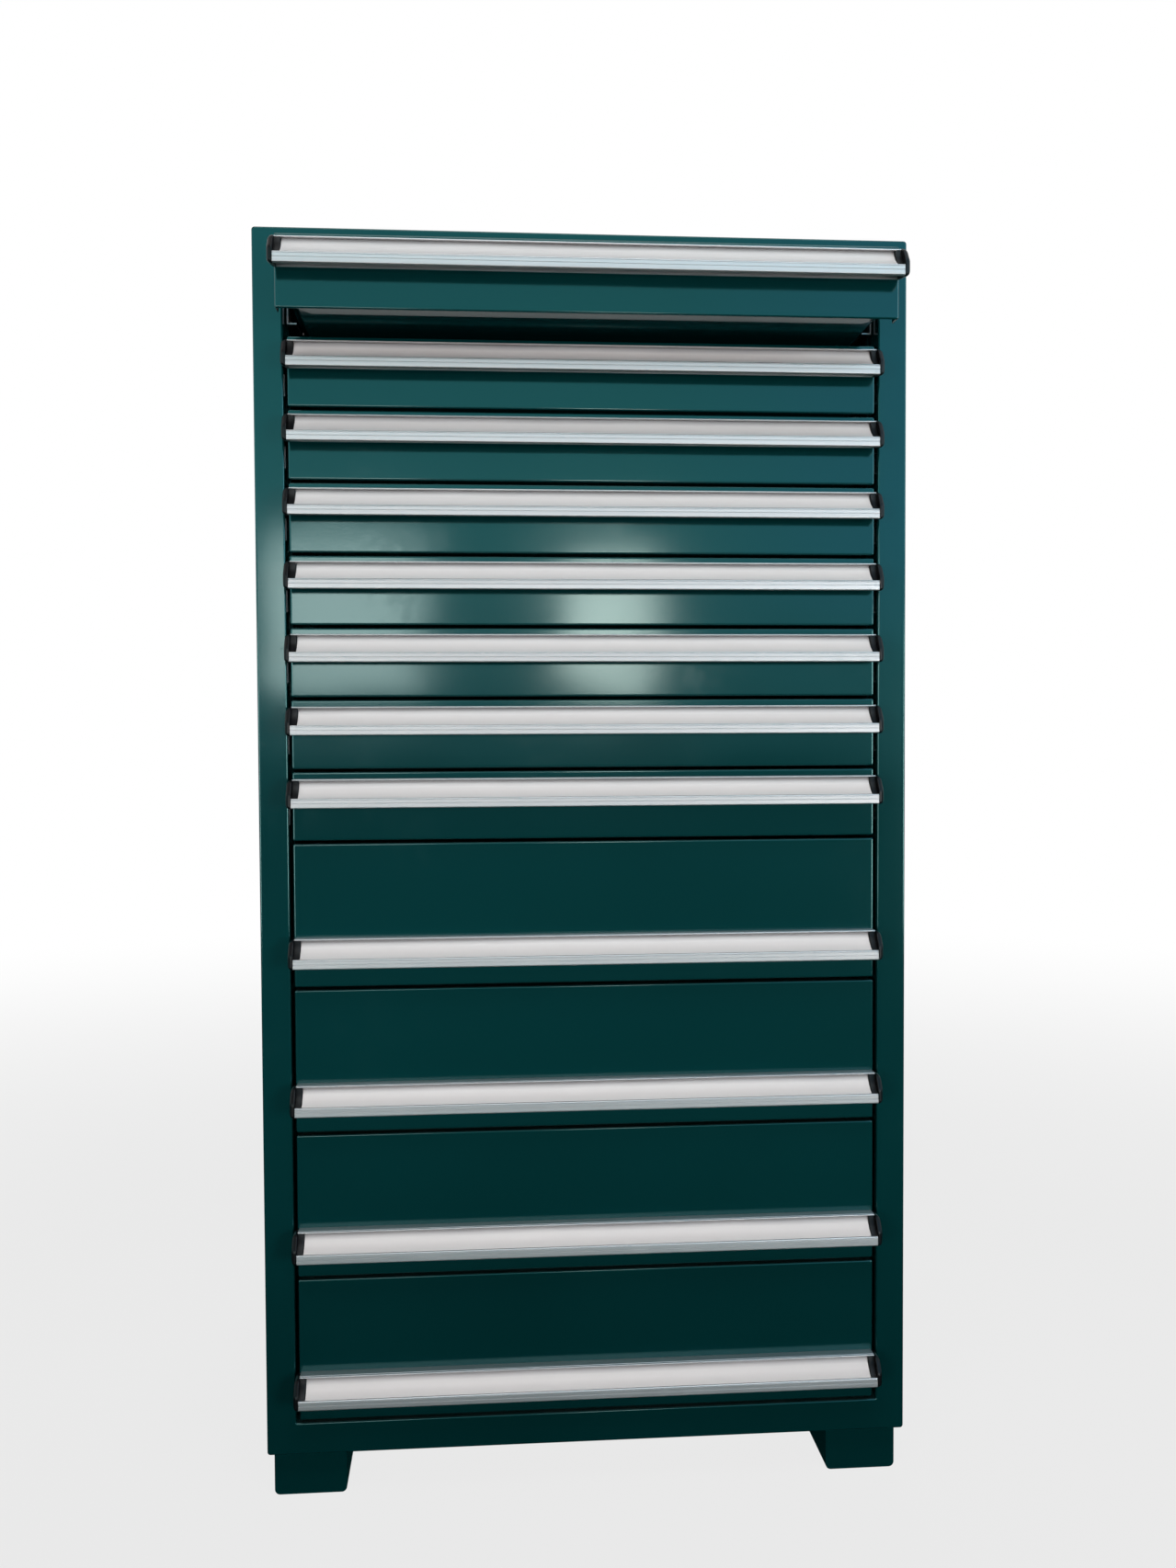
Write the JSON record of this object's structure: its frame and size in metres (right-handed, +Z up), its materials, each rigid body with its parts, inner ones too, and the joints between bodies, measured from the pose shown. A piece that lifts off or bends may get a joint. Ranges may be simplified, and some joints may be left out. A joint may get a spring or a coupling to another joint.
{
  "type": "tool cabinet",
  "caption": "Tall floor cabinet of shallow and deep steel drawers on roller slides, each with a full-width aluminium grip handle, standing on two skids.",
  "frame": {"origin": "on the floor, midway across the cabinet and midway between its back and the front of the top drawer's handle, with that drawer open as stored", "axes": "+Z up, the drawers open towards -Y, +X to the right as seen from the front"},
  "size_m": [0.717, 0.845, 1.396],
  "materials": {
    "paint": "semi-gloss dark teal powder coat",
    "aluminium": "clear anodised extrusion, satin",
    "black_plastic": "moulded, fine texture",
    "zinc": "zinc plated"
  },
  "bodies": {
    "housing": {"left_side_panel": "paint", "right_side_panel": "paint", "top_panel": "paint", "base_panel": "paint", "back_panel": "paint", "left_skid": "paint", "right_skid": "paint", "skid_bolts": "zinc", "front_uprights": "paint", "rear_uprights": "paint", "left_fixed_rails": "zinc", "right_fixed_rails": "zinc"},
    "drawer_01": {"drawer_01_tray": "paint", "drawer_01_handle": "aluminium", "drawer_01_end_caps": "black_plastic"},
    "carriage_01": {"drawer_01_carriages": "zinc"},
    "drawer_02": {"drawer_02_tray": "paint", "drawer_02_handle": "aluminium", "drawer_02_end_caps": "black_plastic"},
    "carriage_02": {"drawer_02_carriages": "zinc"},
    "drawer_03": {"drawer_03_tray": "paint", "drawer_03_handle": "aluminium", "drawer_03_end_caps": "black_plastic"},
    "carriage_03": {"drawer_03_carriages": "zinc"},
    "drawer_04": {"drawer_04_tray": "paint", "drawer_04_handle": "aluminium", "drawer_04_end_caps": "black_plastic"},
    "carriage_04": {"drawer_04_carriages": "zinc"},
    "drawer_05": {"drawer_05_tray": "paint", "drawer_05_handle": "aluminium", "drawer_05_end_caps": "black_plastic"},
    "carriage_05": {"drawer_05_carriages": "zinc"},
    "drawer_06": {"drawer_06_tray": "paint", "drawer_06_handle": "aluminium", "drawer_06_end_caps": "black_plastic"},
    "carriage_06": {"drawer_06_carriages": "zinc"},
    "drawer_07": {"drawer_07_tray": "paint", "drawer_07_handle": "aluminium", "drawer_07_end_caps": "black_plastic"},
    "carriage_07": {"drawer_07_carriages": "zinc"},
    "drawer_08": {"drawer_08_tray": "paint", "drawer_08_handle": "aluminium", "drawer_08_end_caps": "black_plastic"},
    "carriage_08": {"drawer_08_carriages": "zinc"},
    "drawer_09": {"drawer_09_tray": "paint", "drawer_09_handle": "aluminium", "drawer_09_end_caps": "black_plastic"},
    "carriage_09": {"drawer_09_carriages": "zinc"},
    "drawer_10": {"drawer_10_tray": "paint", "drawer_10_handle": "aluminium", "drawer_10_end_caps": "black_plastic"},
    "carriage_10": {"drawer_10_carriages": "zinc"},
    "drawer_11": {"drawer_11_tray": "paint", "drawer_11_handle": "aluminium", "drawer_11_end_caps": "black_plastic"},
    "carriage_11": {"drawer_11_carriages": "zinc"},
    "drawer_12": {"drawer_12_tray": "paint", "drawer_12_handle": "aluminium", "drawer_12_end_caps": "black_plastic"},
    "carriage_12": {"drawer_12_carriages": "zinc"}
  },
  "joints": [
    {"name": "drawer_01_slide", "type": "slide", "parent": "housing", "child": "drawer_01", "axis": [0, -1, 0], "range_m": [-0.09, 0.47]},
    {"name": "carriage_01_slide", "type": "slide", "parent": "housing", "child": "carriage_01", "axis": [0, -1, 0], "range_m": [-0.045, 0.235]},
    {"name": "drawer_02_slide", "type": "slide", "parent": "housing", "child": "drawer_02", "axis": [0, -1, 0], "range_m": [0, 0.56]},
    {"name": "carriage_02_slide", "type": "slide", "parent": "housing", "child": "carriage_02", "axis": [0, -1, 0], "range_m": [0, 0.28]},
    {"name": "drawer_03_slide", "type": "slide", "parent": "housing", "child": "drawer_03", "axis": [0, -1, 0], "range_m": [0, 0.56]},
    {"name": "carriage_03_slide", "type": "slide", "parent": "housing", "child": "carriage_03", "axis": [0, -1, 0], "range_m": [0, 0.28]},
    {"name": "drawer_04_slide", "type": "slide", "parent": "housing", "child": "drawer_04", "axis": [0, -1, 0], "range_m": [0, 0.56]},
    {"name": "carriage_04_slide", "type": "slide", "parent": "housing", "child": "carriage_04", "axis": [0, -1, 0], "range_m": [0, 0.28]},
    {"name": "drawer_05_slide", "type": "slide", "parent": "housing", "child": "drawer_05", "axis": [0, -1, 0], "range_m": [0, 0.56]},
    {"name": "carriage_05_slide", "type": "slide", "parent": "housing", "child": "carriage_05", "axis": [0, -1, 0], "range_m": [0, 0.28]},
    {"name": "drawer_06_slide", "type": "slide", "parent": "housing", "child": "drawer_06", "axis": [0, -1, 0], "range_m": [0, 0.56]},
    {"name": "carriage_06_slide", "type": "slide", "parent": "housing", "child": "carriage_06", "axis": [0, -1, 0], "range_m": [0, 0.28]},
    {"name": "drawer_07_slide", "type": "slide", "parent": "housing", "child": "drawer_07", "axis": [0, -1, 0], "range_m": [0, 0.56]},
    {"name": "carriage_07_slide", "type": "slide", "parent": "housing", "child": "carriage_07", "axis": [0, -1, 0], "range_m": [0, 0.28]},
    {"name": "drawer_08_slide", "type": "slide", "parent": "housing", "child": "drawer_08", "axis": [0, -1, 0], "range_m": [0, 0.56]},
    {"name": "carriage_08_slide", "type": "slide", "parent": "housing", "child": "carriage_08", "axis": [0, -1, 0], "range_m": [0, 0.28]},
    {"name": "drawer_09_slide", "type": "slide", "parent": "housing", "child": "drawer_09", "axis": [0, -1, 0], "range_m": [0, 0.56]},
    {"name": "carriage_09_slide", "type": "slide", "parent": "housing", "child": "carriage_09", "axis": [0, -1, 0], "range_m": [0, 0.28]},
    {"name": "drawer_10_slide", "type": "slide", "parent": "housing", "child": "drawer_10", "axis": [0, -1, 0], "range_m": [0, 0.56]},
    {"name": "carriage_10_slide", "type": "slide", "parent": "housing", "child": "carriage_10", "axis": [0, -1, 0], "range_m": [0, 0.28]},
    {"name": "drawer_11_slide", "type": "slide", "parent": "housing", "child": "drawer_11", "axis": [0, -1, 0], "range_m": [0, 0.56]},
    {"name": "carriage_11_slide", "type": "slide", "parent": "housing", "child": "carriage_11", "axis": [0, -1, 0], "range_m": [0, 0.28]},
    {"name": "drawer_12_slide", "type": "slide", "parent": "housing", "child": "drawer_12", "axis": [0, -1, 0], "range_m": [0, 0.56]},
    {"name": "carriage_12_slide", "type": "slide", "parent": "housing", "child": "carriage_12", "axis": [0, -1, 0], "range_m": [0, 0.28]}
  ],
  "couplings": [
    {"joint": "carriage_01_slide", "follows": "drawer_01_slide", "ratio": 0.5},
    {"joint": "carriage_02_slide", "follows": "drawer_02_slide", "ratio": 0.5},
    {"joint": "carriage_03_slide", "follows": "drawer_03_slide", "ratio": 0.5},
    {"joint": "carriage_04_slide", "follows": "drawer_04_slide", "ratio": 0.5},
    {"joint": "carriage_05_slide", "follows": "drawer_05_slide", "ratio": 0.5},
    {"joint": "carriage_06_slide", "follows": "drawer_06_slide", "ratio": 0.5},
    {"joint": "carriage_07_slide", "follows": "drawer_07_slide", "ratio": 0.5},
    {"joint": "carriage_08_slide", "follows": "drawer_08_slide", "ratio": 0.5},
    {"joint": "carriage_09_slide", "follows": "drawer_09_slide", "ratio": 0.5},
    {"joint": "carriage_10_slide", "follows": "drawer_10_slide", "ratio": 0.5},
    {"joint": "carriage_11_slide", "follows": "drawer_11_slide", "ratio": 0.5},
    {"joint": "carriage_12_slide", "follows": "drawer_12_slide", "ratio": 0.5}
  ]
}
